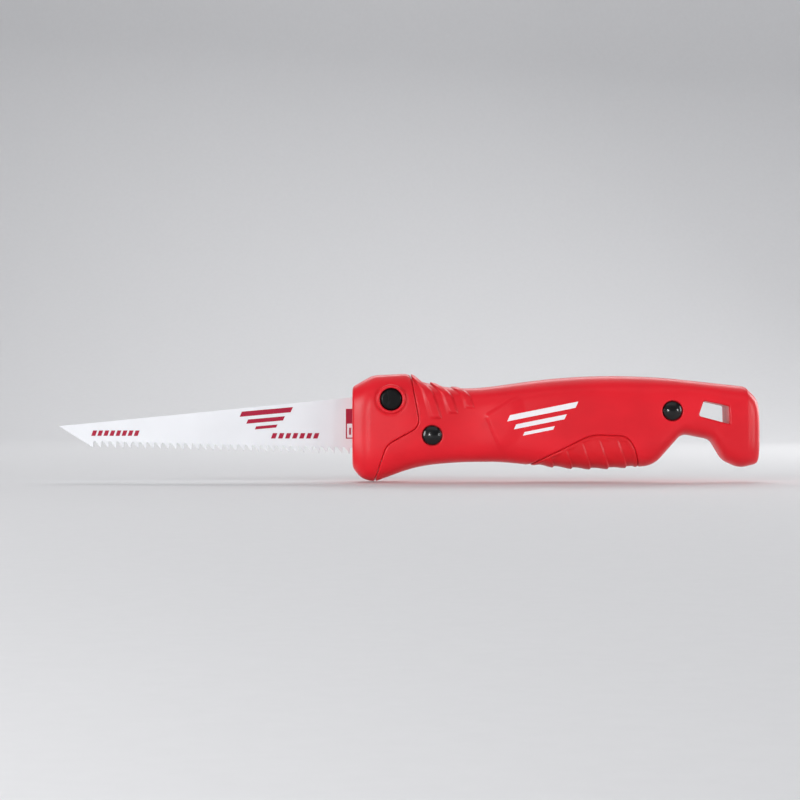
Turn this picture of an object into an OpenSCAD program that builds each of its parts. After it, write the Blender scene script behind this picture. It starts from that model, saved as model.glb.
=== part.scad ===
// Drywall jab saw: a pointed reciprocating-saw blade in a two-part nose with a push-button clamp,
// on a moulded handle held by two binding posts. All sizes are in millimetres.
// X runs from the blade's tip (-X) to the tail of the handle (+X), Z is up towards the blade's spine,
// and Y is the thickness, with the release button on the -Y side.
// The origin is the middle of the blade mouth: the tang's axis, on the nose's front face.

/* [Blade] */
// Length of blade that stands out of the nose
blade_out = 123.6; // [110:0.2:135]
// Thickness of the blade's steel
blade_thick = 1.27; // [1:0.01:1.3]
// Distance from one tooth to the next
tooth_pitch = 3.175; // [2.5:0.025:4]
// Height of a tooth
tooth_height = 2.7; // [1.5:0.1:2.9]
// Height of the standard tang
tang_height = 12.7; // [12.2:0.1:12.8]

/* [Handle] */
// Largest half thickness at the flat belly of the handle
belly_half = 12.5; // [12.2:0.1:12.9]
// Gap at the seam between nose and handle
seam_gap = 0.3; // [0.2:0.05:0.6]
// Thickness of a rib inside the handle
rib = 1.8; // [1.4:0.1:2.4]

/* [Release button] */
// Radius of the button's cap
button_r = 4.55; // [4.3:0.05:4.7]
// How far the button presses in
press = 3; // [2.9:0.1:3.2]
// Radius of the lock pin
lock_r = 2.5; // [2:0.05:2.6]

/* [Hidden] */
$fn = 64;

RED = [0.80, 0.10, 0.12];
PAD_RED = [0.72, 0.08, 0.10];
BLACK = [0.05, 0.05, 0.06];
STEEL = [0.72, 0.73, 0.75];
WHITE = [0.93, 0.93, 0.95];

// Steps in one blended corner, and in the arc of one cross-section
corner_steps = 6;
arc_steps = 14;
// Longer than the body's height or thickness, and an overlap that leaves no skin between shapes
far = 60;
tiny = 0.01;

// Place of the tail's end
body_end = 171;
// Edges of the body seen from the side, as corners [x, z, reach of the blend]
top_corners = [
    [0, 11.8, 0], [8.5, 16.6, 2], [22.6, 17.3, 1.2], [28.5, 14, 2], [38, 11.7, 4], [47, 11, 5],
    [56, 11.5, 6], [92, 16.5, 20], [126, 16.1, 14], [164.5, 11.9, 1.2], [169.9, 6.6, 3], [body_end, -6, 0]
];
bottom_corners = [
    [0, -22.3, 0], [3.5, -26.7, 2.5], [9, -28.2, 2.2], [27, -21.6, 8], [44, -19.9, 8], [62, -19.8, 5],
    [98, -23.5, 14], [126.2, -21.4, 4.5], [138, -8, 3], [150.2, -10.4, 2.5], [155.4, -19.2, 2.5],
    [162.5, -22.4, 3], [169.9, -20.5, 1.5], [body_end, -15, 0]
];
// Half thickness of the body seen from above
plan_corners = [
    [0, 9.2, 0], [7, 12.1, 3.5], [26, 12, 5], [46, 10.6, 10], [95, 13.5, 20], [140, 10.6, 14],
    [163, 10.4, 3], [170.4, 9.9, 4.4], [body_end, 3.5, 0]
];
// How square a cross-section is: towards the side, and towards the top and bottom
side_power = 0.8;
edge_power = 0.45;

// Seam between nose and handle, from the top edge to the bottom edge
seam_corners = [[21.9, 30, 0], [28.3, -4.8, 4], [14.3, -12.6, 3], [7.2, -34, 0]];
// Ridged finger pad at the belly
pad_corners = [
    [68, -24, 0], [99.5, -8.2, 4], [114.2, -8.8, 3], [117.8, -14, 3], [121, -27, 0], [121, -34, 0], [68, -34, 0]
];
pad_tilt = 41.9;
pad_depth = 13.56;
// Lanyard slot through the tail
slot_corners = [[146.4, 5.9, 0.7], [156.9, 3.6, 0.7], [157.2, -3.8, 0.8], [144.3, -0.4, 1.2]];

// Clamp that holds the tang
slot_half = 0.75;
cheek_out = 2.25;
tongue_out = 5;
clamp_front = 9.6;
tang_end = 28.8;
tang_hole = [18.8, 0];
tang_hole_r = 2.75;
clamp_corners = [
    [clamp_front, 12, 0], [21.8, 12, 1.6], [28, 7.4, 3], [38.6, 1, 4], [39, -14, 4], [28, -14, 3],
    [24.5, -11, 2], [clamp_front, -11, 0]
];
tongue_corners = [
    [13, 9, 0], [30.2, 9, 2], [40.4, 2, 4], [40.8, -15.2, 4], [27, -15.2, 3], [22, -12.2, 2], [13, -12.2, 0]
];
rivet_places = [[12.4, 9.2], [21.4, 9.2], [12.4, -8.7], [22.5, -8.7]];
rivet_r = 1.1;

// Release button, its rod and the yoke that carries the lock pin
button_at = [16.2, 6.5];
button_top = 12.2;
ring_top = 12.45;
ring_r = 6.1;
rod_at = [16.2, 8.7];
rod_r = 1.4;
rod_in_cap = 2;
rod_past_yoke = 1;
clip_thick = 0.5;
clip_groove = 0.3;
clip_mouth = 1.6;
flange_r = 5.6;
flange_thick = 1;
shoulder = 8;
button_gap = 0.15;
flange_gap = 0.25;
lock_reach = 1.6;
lock_lead = 0.5;
yoke_in = 2.5;
yoke_out = 4;
yoke_corners = [
    [13.2, 12.2, 1.6], [19.4, 12.2, 1.8], [23, 0, 2.4], [20.6, -4, 1.6], [16.6, -4, 1.6], [14.6, 0, 2]
];
yoke_room = [[12.4, 13, 1], [20.2, 13, 1.5], [24, 0.5, 3], [21.4, -4.8, 2], [15.8, -4.8, 2], [13.6, 0, 2]];

// Binding posts: domed post from the left, socket screw from the right
front_post_at = [33.3, -8.5];
front_seat = 10;
rear_post_at = [133.3, 1.7];
rear_seat = 9.5;
post_r = 2.5;
head_r = 4;
head_rim = 0.8;
head_dome = 1.1;
head_gap = 0.3;
screw_r = 1.5;
socket_r = 1.7;
socket_deep = 1.5;
post_short = 1.6;
fit_gap = 0.05;

// Pockets that lighten the handle, with ribs between them
pocket_start = 44;
pocket_pitch = 13.4;
pocket_count = 6;
pocket_depth = 7.6;
pocket_floor = -9.3;
pocket_wall = 5;
peg_places = [[49, -15], [163, 3], [163, -16]];
peg_r = 1.6;
peg_long = 2.5;

function unit(v) = v / norm(v);
function flat(p) = [p[0], p[1]];

// One corner p between a and b, blended over the reach along both of its legs
function corner(a, p, b, reach) =
    let (s = p + unit(a - p) * reach, e = p + unit(b - p) * reach)
    [for (i = [0 : corner_steps])
        let (t = i / corner_steps)
        (1 - t) * (1 - t) * s + 2 * t * (1 - t) * p + t * t * e];

// An open line through corners; its two ends stay sharp
function open_line(c) = [for (i = [0 : len(c) - 1])
    each (c[i][2] == 0 ? [flat(c[i])] : corner(flat(c[i - 1]), flat(c[i]), flat(c[i + 1]), c[i][2]))];

// A closed outline through corners
function closed_line(c) = let (n = len(c)) [for (i = [0 : n - 1])
    each (c[i][2] == 0 ? [flat(c[i])]
        : corner(flat(c[(i + n - 1) % n]), flat(c[i]), flat(c[(i + 1) % n]), c[i][2]))];

top_edge = open_line(top_corners);
bottom_edge = open_line(bottom_corners);
plan_edge = open_line(plan_corners);
seam = open_line(seam_corners);

// Half of the cross-section at x, from the bottom edge round the -Y side to the top edge
function section(x) =
    let (
        high = lookup(x, top_edge),
        low = lookup(x, bottom_edge),
        half = lookup(x, plan_edge),
        mid = (high + low) / 2,
        reach = (high - low) / 2
    )
    [for (i = [0 : arc_steps])
        let (a = -90 + 180 * i / arc_steps, up = sin(a))
        [x, -half * pow(cos(a), side_power), mid + reach * sign(up) * pow(abs(up), edge_power)]];

// Places along X where a cross-section is taken
stations = [
    for (x = [0 : 1.5 : 12]) x,
    for (x = [14.5 : 2.5 : 39.5]) x,
    for (x = [44 : 6 : 122]) x,
    for (x = [124.5 : 1.5 : 162]) x,
    for (x = [163.2 : 1.2 : 169.2]) x,
    170, 170.6, body_end
];

// Half of the body on the -Y side as its cross-sections give it, between two places along X
module half_loft(from, to) {
    xs = [for (x = stations) if (x >= from && x <= to) x];
    n = len(xs);
    w = arc_steps + 1;
    points = [for (x = xs) each section(x)];
    polyhedron(points, concat(
        [for (i = [0 : n - 2], j = [0 : arc_steps - 1])
            each [[i * w + j, i * w + j + 1, (i + 1) * w + j + 1], [i * w + j, (i + 1) * w + j + 1, (i + 1) * w + j]]],
        [for (i = [0 : n - 2])
            each [[i * w, (i + 1) * w, (i + 1) * w + arc_steps], [i * w, (i + 1) * w + arc_steps, i * w + arc_steps]]],
        [[for (j = [arc_steps : -1 : 0]) j]],
        [[for (j = [0 : arc_steps]) (n - 1) * w + j]]
    ));
}

// Half of the body with its belly cut flat, so that the saw lies still on either side
module half_body(from, to) {
    intersection() {
        half_loft(from, to);
        translate([0, -belly_half, -far]) cube([2 * body_end, far, 2 * far]);
    }
}

// Outline in the XZ plane, drawn out along Y from y0 to y1
module plate(points, y0, y1) {
    translate([0, y1, 0]) rotate([90, 0, 0]) linear_extrude(y1 - y0) polygon(points);
}

// Round bar along Y at [x, z]
module bar(at, r, y0, y1) {
    translate([at[0], y0, at[1]]) rotate([-90, 0, 0]) cylinder(r = r, h = y1 - y0);
}

module other_side() {
    mirror([0, 1, 0]) children();
}

// Space of a finger pad on the -Y side
module pad_space() {
    intersection() {
        plate(closed_line(pad_corners), -far, 0);
        rotate([pad_tilt, 0, 0]) translate([0, -far, -far]) cube([body_end, far - pad_depth, 2 * far]);
    }
}

module nose_solid() {
    intersection() {
        half_body(0, 32);
        plate(concat([[-5, 30]], seam, [[-5, -34]]), -far, 0);
    }
    plate(closed_line(tongue_corners), -tongue_out, 0);
}

module nose_cuts() {
    plate([[-1, 9], [clamp_front + tiny, 9.6], [clamp_front + tiny, -17.2], [-1, -17.4]], -slot_half - fit_gap, tiny);
    plate(closed_line(clamp_corners), -cheek_out, tiny);
    bar(front_post_at, post_r + fit_gap, -far, tiny);
}

module nose_left() {
    color(RED) difference() {
        union() {
            nose_solid();
            bar(button_at, ring_r, -ring_top, -shoulder);
        }
        nose_cuts();
        bar(button_at, button_r + button_gap, -far, 0);
        bar(button_at, flange_r + flange_gap, -shoulder, 0);
    }
}

module nose_right() {
    color(RED) difference() {
        other_side() nose_solid();
        other_side() nose_cuts();
        plate(closed_line(yoke_room), cheek_out - tiny, yoke_out + rod_past_yoke + press + clip_thick);
    }
}

module handle_solid() {
    difference() {
        intersection() {
            half_body(8, body_end);
            plate(concat([for (p = seam) p + [seam_gap, 0]], [[far * 3, -34], [far * 3, 30]]), -far, 0);
        }
        plate(closed_line(tongue_corners), -tongue_out - fit_gap, tiny);
        plate(closed_line(slot_corners), -far, tiny);
        pad_space();
        handle_pockets();
        bar(front_post_at, post_r + fit_gap, -front_seat, tiny);
        bar(rear_post_at, post_r + fit_gap, -rear_seat, tiny);
        bar(front_post_at, head_r + head_gap, -far, -front_seat);
        bar(rear_post_at, head_r + head_gap, -far, -rear_seat);
    }
}

module handle_pockets() {
    for (i = [0 : pocket_count - 1]) {
        x0 = pocket_start + i * pocket_pitch + rib / 2;
        x1 = x0 + pocket_pitch - rib;
        plate([
            [x0, pocket_floor], [x1, pocket_floor],
            [x1, lookup(x1, top_edge) - pocket_wall], [x0, lookup(x0, top_edge) - pocket_wall]
        ], -pocket_depth, tiny);
    }
}

module handle_left() {
    color(RED) {
        handle_solid();
        for (at = peg_places) bar(at, peg_r, -1, peg_long);
    }
}

// The screw side keeps a floor under each post, which the screw's head clamps
module handle_right() {
    color(RED) difference() {
        union() {
            other_side() handle_solid();
            bar(front_post_at, head_r, front_seat - post_short, front_seat);
            bar(rear_post_at, head_r, rear_seat - post_short, rear_seat);
        }
        bar(front_post_at, screw_r + 0.1, 0, far);
        bar(rear_post_at, screw_r + 0.1, 0, far);
        for (at = peg_places) bar(at, peg_r + fit_gap, -1, peg_long + 0.3);
    }
}

module finger_pad() {
    intersection() {
        half_body(62, 131);
        pad_space();
    }
}

module finger_pad_left() {
    color(PAD_RED) finger_pad();
}

module finger_pad_right() {
    color(PAD_RED) other_side() finger_pad();
}

// Holes that the push rod, the lock pin, the front post and the rivets share in the clamp's plates
module clamp_holes() {
    bar(rod_at, rod_r + fit_gap, -far, far);
    bar(front_post_at, post_r + fit_gap, -far, far);
    for (at = rivet_places) bar(at, rivet_r, -far, far);
}

module clamp_cheek(y0, y1) {
    color(STEEL) difference() {
        plate(closed_line(clamp_corners), y0, y1);
        clamp_holes();
        bar(tang_hole, lock_r + fit_gap, -far, far);
    }
}

module clamp_cheek_left() {
    clamp_cheek(-cheek_out, -slot_half);
}

module clamp_cheek_right() {
    clamp_cheek(slot_half, cheek_out);
}

module clamp_spacer() {
    color(STEEL) difference() {
        plate(closed_line(clamp_corners), -slot_half, slot_half);
        clamp_holes();
        translate([0, -far, -tang_height / 2 - 0.15])
            cube([tang_end + 0.3, 2 * far, tang_height + 0.3]);
    }
}

module clamp_rivets() {
    color(STEEL) for (at = rivet_places) bar(at, rivet_r, -cheek_out, cheek_out);
}

// Blade outline: spine, tang, heel, then the teeth back to the point
first_tooth = [14.3 - blade_out, -13.8];
tooth_line = -0.0242;
tooth_count = floor((3 - first_tooth[0]) / tooth_pitch);
function tip_at(k) = first_tooth + [k * tooth_pitch, k * tooth_pitch * tooth_line];
blade_outline = concat(
    [[-blade_out, -4.8], [7.6, 8.1], [8.4, 7.4], [9.6, tang_height / 2]],
    [[tang_end - 1, tang_height / 2], [tang_end, tang_height / 2 - 1]],
    [[tang_end, 1 - tang_height / 2], [tang_end - 1, -tang_height / 2]],
    [[9.2, -tang_height / 2], [8.4, -7.4], [8, -14.6]],
    [for (k = [tooth_count : -1 : 0]) each [
        tip_at(k) + [1.1, tooth_height], tip_at(k) + [0.35, tooth_height], tip_at(k)
    ]]
);

module blade() {
    color(WHITE) difference() {
        plate(blade_outline, -blade_thick / 2, blade_thick / 2);
        bar(tang_hole, tang_hole_r, -far, far);
    }
}

module release_button() {
    color(BLACK) difference() {
        union() {
            bar(button_at, button_r, -button_top, -shoulder);
            bar(button_at, flange_r, -shoulder, -shoulder + flange_thick);
        }
        bar(rod_at, rod_r, -shoulder - rod_in_cap, 0);
    }
}

module push_rod() {
    color(STEEL) difference() {
        bar(rod_at, rod_r, -shoulder - rod_in_cap, yoke_out + rod_past_yoke);
        difference() {
            bar(rod_at, rod_r + 1, yoke_out, yoke_out + clip_thick);
            bar(rod_at, rod_r - clip_groove, 0, far);
        }
    }
}

module yoke_clip() {
    color(STEEL) difference() {
        bar(rod_at, rod_r + 1, yoke_out, yoke_out + clip_thick);
        bar(rod_at, rod_r - clip_groove, 0, far);
        translate([rod_at[0] - clip_mouth / 2, 0, rod_at[1]]) cube([clip_mouth, far, far]);
    }
}

module lock_yoke() {
    color(STEEL) difference() {
        plate(closed_line(yoke_corners), yoke_in, yoke_out);
        bar(rod_at, rod_r, 0, far);
        bar(tang_hole, rod_r, 0, far);
    }
}

module lock_pin() {
    color(STEEL) {
        translate([tang_hole[0], -lock_reach, tang_hole[1]]) rotate([90, 0, 0])
            cylinder(r1 = lock_r, r2 = lock_r - lock_lead, h = lock_lead);
        bar(tang_hole, lock_r, -lock_reach, yoke_in);
        bar(tang_hole, rod_r, yoke_in - tiny, yoke_out + tiny);
        bar(tang_hole, rod_r + 0.6, yoke_out, yoke_out + 0.4);
    }
}

// Compression spring round the push rod, between the button and the left cheek
spring_wire = 0.22;
spring_mid = 1.85;
spring_turns = 4;
turn_steps = 16;
wire_sides = 6;
spring_low = -cheek_out - spring_wire - 0.02;
spring_high = -shoulder + flange_thick + spring_wire + 0.02;

module button_spring() {
    count = spring_turns * turn_steps;
    points = [for (i = [0 : count])
        let (a = 360 * i / turn_steps, y = spring_low + (spring_high - spring_low) * i / count)
        each [for (j = [0 : wire_sides - 1])
            let (b = 360 * j / wire_sides, r = spring_mid + spring_wire * cos(b))
            [rod_at[0] + r * cos(a), y + spring_wire * sin(b), rod_at[1] + r * sin(a)]]];
    color(STEEL) polyhedron(points, concat(
        [for (i = [0 : count - 1], j = [0 : wire_sides - 1])
            let (k = (j + 1) % wire_sides, p = i * wire_sides, q = p + wire_sides)
            each [[p + j, p + k, q + k], [p + j, q + k, q + j]]],
        [[for (j = [wire_sides - 1 : -1 : 0]) j]],
        [[for (j = [0 : wire_sides - 1]) count * wire_sides + j]]
    ));
}

// Domed head whose flat underside is at the origin, facing +Z
module head() {
    ball = (head_r * head_r + head_dome * head_dome) / (2 * head_dome);
    translate([0, 0, -head_rim]) cylinder(r = head_r, h = head_rim);
    intersection() {
        translate([0, 0, -head_rim - head_dome]) cylinder(r = head_r, h = head_dome + tiny);
        translate([0, 0, ball - head_rim - head_dome]) sphere(ball);
    }
}

module post(at, seat) {
    color(BLACK) translate([at[0], -seat, at[1]]) rotate([-90, 0, 0]) difference() {
        union() {
            head();
            cylinder(r = post_r, h = 2 * seat - post_short - 0.1);
        }
        translate([0, 0, seat]) cylinder(r = screw_r + 0.05, h = far);
    }
}

module screw(at, seat) {
    color(BLACK) translate([at[0], seat, at[1]]) rotate([90, 0, 0]) difference() {
        union() {
            head();
            cylinder(r = screw_r, h = seat - screw_r);
        }
        translate([0, 0, socket_deep - head_rim - head_dome - far]) cylinder(r = socket_r, h = far, $fn = 6);
    }
}

module front_post() {
    post(front_post_at, front_seat);
}

module front_screw() {
    screw(front_post_at, front_seat);
}

module rear_post() {
    post(rear_post_at, rear_seat);
}

module rear_screw() {
    screw(rear_post_at, rear_seat);
}

nose_left();
nose_right();
handle_left();
handle_right();
finger_pad_left();
finger_pad_right();
clamp_cheek_left();
clamp_cheek_right();
clamp_spacer();
clamp_rivets();
blade();
release_button();
push_rod();
lock_yoke();
lock_pin();
yoke_clip();
button_spring();
front_post();
front_screw();
rear_post();
rear_screw();
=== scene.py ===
"""Drywall jab saw: the visible model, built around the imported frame.

Sizes inside the classes are in millimetres, in the frame of the CAD model. Meshes and the studio
are in metres. X runs from the blade's tip to the tail of the handle, Z is up, and the release
button is on the -Y side.
"""

import logging
import math
from dataclasses import dataclass
from enum import Enum
from functools import cached_property
from typing import Callable, Sequence, Union

import bmesh
import bpy
import numpy as np
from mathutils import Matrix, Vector


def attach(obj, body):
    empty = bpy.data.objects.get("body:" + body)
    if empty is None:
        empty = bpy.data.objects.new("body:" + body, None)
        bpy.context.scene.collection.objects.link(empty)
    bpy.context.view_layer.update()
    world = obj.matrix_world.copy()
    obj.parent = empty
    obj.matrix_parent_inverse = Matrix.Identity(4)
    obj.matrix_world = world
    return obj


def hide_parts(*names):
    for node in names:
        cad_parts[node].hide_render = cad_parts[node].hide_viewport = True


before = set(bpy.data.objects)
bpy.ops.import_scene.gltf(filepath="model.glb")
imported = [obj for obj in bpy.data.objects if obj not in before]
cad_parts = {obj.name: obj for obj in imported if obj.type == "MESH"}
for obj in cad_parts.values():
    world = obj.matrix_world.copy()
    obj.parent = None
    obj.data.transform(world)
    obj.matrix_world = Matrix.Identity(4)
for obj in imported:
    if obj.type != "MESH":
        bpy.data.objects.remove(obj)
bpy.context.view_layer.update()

MM = 0.001
FAR = 400.0
HOLE_SIDES = 48
FLAT_ANGLE = 0.001
log = logging.getLogger("jab_saw")

Array = np.ndarray
Point2 = tuple[float, float]
Corner = tuple[float, float, float]
Place = tuple[float, float, float]
Solid = Callable[[Array, Array, Array], Array]
Box = tuple[Place, Place]
Values = Union[dict, None]


class Side(Enum):
    """The two halves of the handle. The value is the sign of Y there."""

    LEFT = -1
    RIGHT = 1

    @property
    def word(self) -> str:
        """The side's name in lower case."""
        return self.name.lower()


# ---------------------------------------------------------------------------------------------
# Shaping: rounded outlines, solids given by their signed distance, and their meshes
# ---------------------------------------------------------------------------------------------


def rounded_line(corners: Sequence[Corner], closed: bool, steps: int = 10) -> Array:
    """Lays a line through corners and rounds each one.

    Args:
        corners: x, z and the reach of the rounding along both legs, for each corner.
        closed: whether the last corner joins the first.
        steps: pieces in one rounding.

    Returns:
        The line's points, one row each.
    """
    places = [np.array(c[:2], float) for c in corners]
    points: list[Array] = []
    for i, (x, z, reach) in enumerate(corners):
        here = places[i]
        if reach == 0 or (not closed and i in (0, len(corners) - 1)):
            points.append(here)
            continue
        back = places[i - 1] - here
        on = places[(i + 1) % len(corners)] - here
        start = here + back / np.linalg.norm(back) * reach
        end = here + on / np.linalg.norm(on) * reach
        for t in np.linspace(0, 1, steps + 1):
            points.append((1 - t) ** 2 * start + 2 * t * (1 - t) * here + t * t * end)
    return np.array(points)


def smooth_step(low: float, high: float, value: Array) -> Array:
    """Rises smoothly from 0 at low to 1 at high."""
    t = np.clip((value - low) / (high - low), 0, 1)
    return t * t * (3 - 2 * t)


def meet(a: Array, b: Array, radius: float) -> Array:
    """Intersection of two distances, with its edge rounded to the radius."""
    inside = np.minimum(-radius, np.maximum(a, b))
    return inside + np.hypot(np.maximum(a + radius, 0), np.maximum(b + radius, 0))


def join(a: Array, b: Array, radius: float) -> Array:
    """Union of two distances, with a fillet of the radius between them."""
    return -meet(-a, -b, radius)


def cut(a: Array, b: Array, radius: float) -> Array:
    """Distance a without b, with the opening's edge rounded to the radius."""
    return meet(a, -b, radius)


@dataclass(frozen=True)
class Outline:
    """A closed outline in the side view, with rounded corners."""

    corners: tuple[Corner, ...]
    margin: float = 2.0

    @cached_property
    def points(self) -> Array:
        """The outline's points."""
        return rounded_line(self.corners, closed=True)

    def distance(self, x: Array, z: Array) -> Array:
        """Measures how far points are outside the outline, roughly where that is more than the margin.

        Args:
            x: places along the saw.
            z: heights.

        Returns:
            Distances, which are negative inside.
        """
        low, high = self.points.min(axis=0), self.points.max(axis=0)
        past_x = np.maximum(np.maximum(low[0] - x, x - high[0]), 0)
        past_z = np.maximum(np.maximum(low[1] - z, z - high[1]), 0)
        distance = np.hypot(*np.broadcast_arrays(past_x, past_z))
        close = distance < self.margin
        x, z = np.broadcast_to(x, close.shape)[close], np.broadcast_to(z, close.shape)[close]
        distance[close] = self._exact(x, z)
        return distance

    def _exact(self, x: Array, z: Array) -> Array:
        """Measures flat lists of points exactly."""
        nearest = np.full(x.shape, np.inf)
        inside = np.zeros(x.shape, bool)
        for (ax, az), (bx, bz) in zip(self.points, np.roll(self.points, -1, axis=0)):
            ex, ez = bx - ax, bz - az
            span = ex * ex + ez * ez
            if span == 0:
                continue
            t = np.clip(((x - ax) * ex + (z - az) * ez) / span, 0, 1)
            nearest = np.minimum(nearest, (x - ax - t * ex) ** 2 + (z - az - t * ez) ** 2)
            if az != bz:
                inside ^= ((az > z) != (bz > z)) & (x < ex * (z - az) / ez + ax)
        return np.where(inside, -1, 1) * np.sqrt(nearest)


def bar_distance(at: Point2, radius: float, x: Array, z: Array) -> Array:
    """Distance outside a round bar that lies along Y."""
    return np.hypot(x - at[0], z - at[1]) - radius


@dataclass(frozen=True)
class Skin:
    """The finished surface of one solid, which can be used on both sides of the saw."""

    points: Array
    faces: Array
    normals: Array
    wear: Array
    crease: Array

    def piece(self, name: str, side: Side = Side.LEFT) -> bpy.types.Object:
        """Makes an object of the surface, mirrored where it is for the right side.

        Args:
            name: the new object's name.
            side: the side it is for.

        Returns:
            The new object, with a wear attribute and a mask of hollows for painted shade on its points.
        """
        flip = np.array([1, -side.value, 1])
        faces = self.faces if side is Side.LEFT else self.faces[:, ::-1]
        piece = mesh_object(name, self.points * flip, faces.tolist())
        for word, values in (("wear", self.wear), ("crease", self.crease)):
            layer = piece.data.attributes.new(word, "FLOAT", "POINT")
            layer.data.foreach_set("value", values.astype(np.float32))
        piece.data.normals_split_custom_set_from_vertices((self.normals * flip).tolist())
        return piece


@dataclass(frozen=True)
class SurfaceNet:
    """Turns a solid given by its distance into a closed mesh whose points lie on its surface."""

    step: float
    keep: float = 1.0
    coarser: float = 1.6
    nudge: float = 0.02
    least_steep: float = 0.05
    feel: float = 0.45
    contrast: float = 2.4
    wear_from: float = 0.35
    # Where the mask of hollows starts; the plastic finish paints shade into creases with it.
    crease_from: float = 0.2

    def _cells(self, value: Array) -> tuple[Array, Array, Array]:
        """Finds the grid cells that the surface passes through.

        Args:
            value: distances at the grid's points.

        Returns:
            Which points are inside, each cell's number, and each active cell's place in grid steps.
        """
        inside = value < 0
        count = np.zeros(tuple(n - 1 for n in value.shape), np.int8)
        corners = [(i, j, k) for i in (0, 1) for j in (0, 1) for k in (0, 1)]

        def at(grid: Array, i: int, j: int, k: int) -> Array:
            """The grid's values at one corner of every cell."""
            nx, ny, nz = grid.shape
            return grid[i : nx - 1 + i, j : ny - 1 + j, k : nz - 1 + k]

        for corner in corners:
            count += at(inside, *corner)
        active = (count > 0) & (count < len(corners))
        number = np.full(count.shape, -1, np.int64)
        number[active] = np.arange(active.sum())
        total = np.zeros((active.sum(), 3))
        crossings = np.zeros(active.sum())
        for axis in range(3):
            for corner in corners:
                if corner[axis]:
                    continue
                other = tuple(c + (a == axis) for a, c in enumerate(corner))
                v0, v1 = at(value, *corner)[active], at(value, *other)[active]
                crosses = (v0 < 0) != (v1 < 0)
                place = np.tile(np.array(corner, float), (len(v0), 1))
                place[:, axis] += v0 / np.where(crosses, v0 - v1, 1)
                total += place * crosses[:, None]
                crossings += crosses
        return inside, number, np.argwhere(active) + total / crossings[:, None]

    @staticmethod
    def _faces(inside: Array, number: Array) -> Array:
        """Joins the cells round each crossed grid edge into a face that looks outwards.

        Args:
            inside: which grid points are inside.
            number: each cell's number.

        Returns:
            Four cell numbers for each face.
        """
        faces = []
        for axis in range(3):
            u, v = (axis + 1) % 3, (axis + 2) % 3
            s = np.transpose(inside, (axis, u, v))
            n = np.transpose(number, (axis, u, v))
            crossed = np.argwhere(s[:-1, 1:-1, 1:-1] != s[1:, 1:-1, 1:-1])
            i, j, k = crossed[:, 0], crossed[:, 1] + 1, crossed[:, 2] + 1
            quad = np.stack([n[i, j - 1, k - 1], n[i, j, k - 1], n[i, j, k], n[i, j - 1, k]], axis=1)
            faces.append(np.where(s[i, j, k][:, None], quad, quad[:, ::-1]))
        return np.concatenate(faces)

    def slope(self, solid: Solid, points: Array) -> tuple[Array, Array]:
        """Measures a solid's distance and the direction it grows in.

        Args:
            solid: the solid.
            points: where to measure.

        Returns:
            The distances and their slopes.
        """
        value = solid(*points.T)
        ahead = [solid(*(points + self.nudge * np.eye(3)[a]).T) for a in range(3)]
        return value, (np.stack(ahead, axis=1) - value[:, None]) / self.nudge

    def settle(self, solid: Solid, points: Array, rounds: int) -> Array:
        """Moves points onto the solid's surface, each by no more than one step.

        Args:
            solid: the solid.
            points: the points as they are.
            rounds: how often they are moved.

        Returns:
            The moved points.
        """
        start = points.copy()
        for _ in range(rounds):
            value, slope = self.slope(solid, points)
            steep = np.maximum((slope**2).sum(axis=1), self.least_steep)
            away = points - (value / steep)[:, None] * slope - start
            points = start + away / np.maximum(np.linalg.norm(away, axis=1) / self.step, 1)[:, None]
        return points

    def skin(self, solid: Solid, box: Box) -> Skin:
        """Meshes a solid and takes its shading from its own slopes.

        Args:
            solid: the solid, negative inside.
            box: lowest and highest corner of a box around it.

        Returns:
            The solid's surface.
        """
        step = self.step * 1
        axes = [np.arange(a - 2 * step, b + 2 * step, step) for a, b in zip(*box)]
        x, y, z = axes[0][:, None, None], axes[1][None, :, None], axes[2][None, None, :]
        value = np.broadcast_to(solid(x, y, z), tuple(len(a) for a in axes))
        inside, number, cells = self._cells(value)
        points = self.settle(solid, np.array([a[0] for a in axes]) + cells * step, 2)
        faces = self._faces(inside, number)
        if self.keep < 1:
            points, faces = thinned(points, faces, self.keep)
            points = self.settle(solid, points, 1)
        _, slope = self.slope(solid, points)
        normals = slope / np.maximum(np.linalg.norm(slope, axis=1), 1e-9)[:, None]
        under = solid(*(points - self.feel * normals).T) / self.feel
        over = solid(*(points + self.feel * normals).T) / self.feel
        wear = np.clip((1 + under) * self.contrast - self.wear_from, 0, 1)
        # How hollow each point is: a mask that the plastic finish uses to paint shade into creases and
        # recesses.
        crease = np.clip((1 - over) * self.contrast - self.crease_from, 0, 1)
        return Skin(points, faces, normals, wear, crease)


def linked(name: str, mesh: bpy.types.Mesh) -> bpy.types.Object:
    """Puts a mesh into the scene as an object of its own."""
    piece = bpy.data.objects.new(name, mesh)
    bpy.context.scene.collection.objects.link(piece)
    return piece


def mesh_object(name: str, points: Array, faces: Sequence, smooth: bool = True) -> bpy.types.Object:
    """Makes an object from points in millimetres and the faces between them.

    Args:
        name: the new object's name.
        points: its points.
        faces: the point numbers of each face.
        smooth: whether its faces are shaded smoothly.

    Returns:
        The new object.
    """
    mesh = bpy.data.meshes.new(name)
    mesh.from_pydata((np.asarray(points, float) * MM).tolist(), [], faces)
    mesh.polygons.foreach_set("use_smooth", [smooth] * len(mesh.polygons))
    mesh.update()
    return linked(name, mesh)


def evaluated(piece: bpy.types.Object) -> bpy.types.Object:
    """Applies an object's modifiers and returns it with its final mesh."""
    bpy.context.view_layer.update()
    shown = piece.evaluated_get(bpy.context.evaluated_depsgraph_get())
    mesh = bpy.data.meshes.new_from_object(shown)
    piece.modifiers.clear()
    old = piece.data
    piece.data = mesh
    mesh.name = piece.name
    bpy.data.meshes.remove(old)
    return piece


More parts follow.
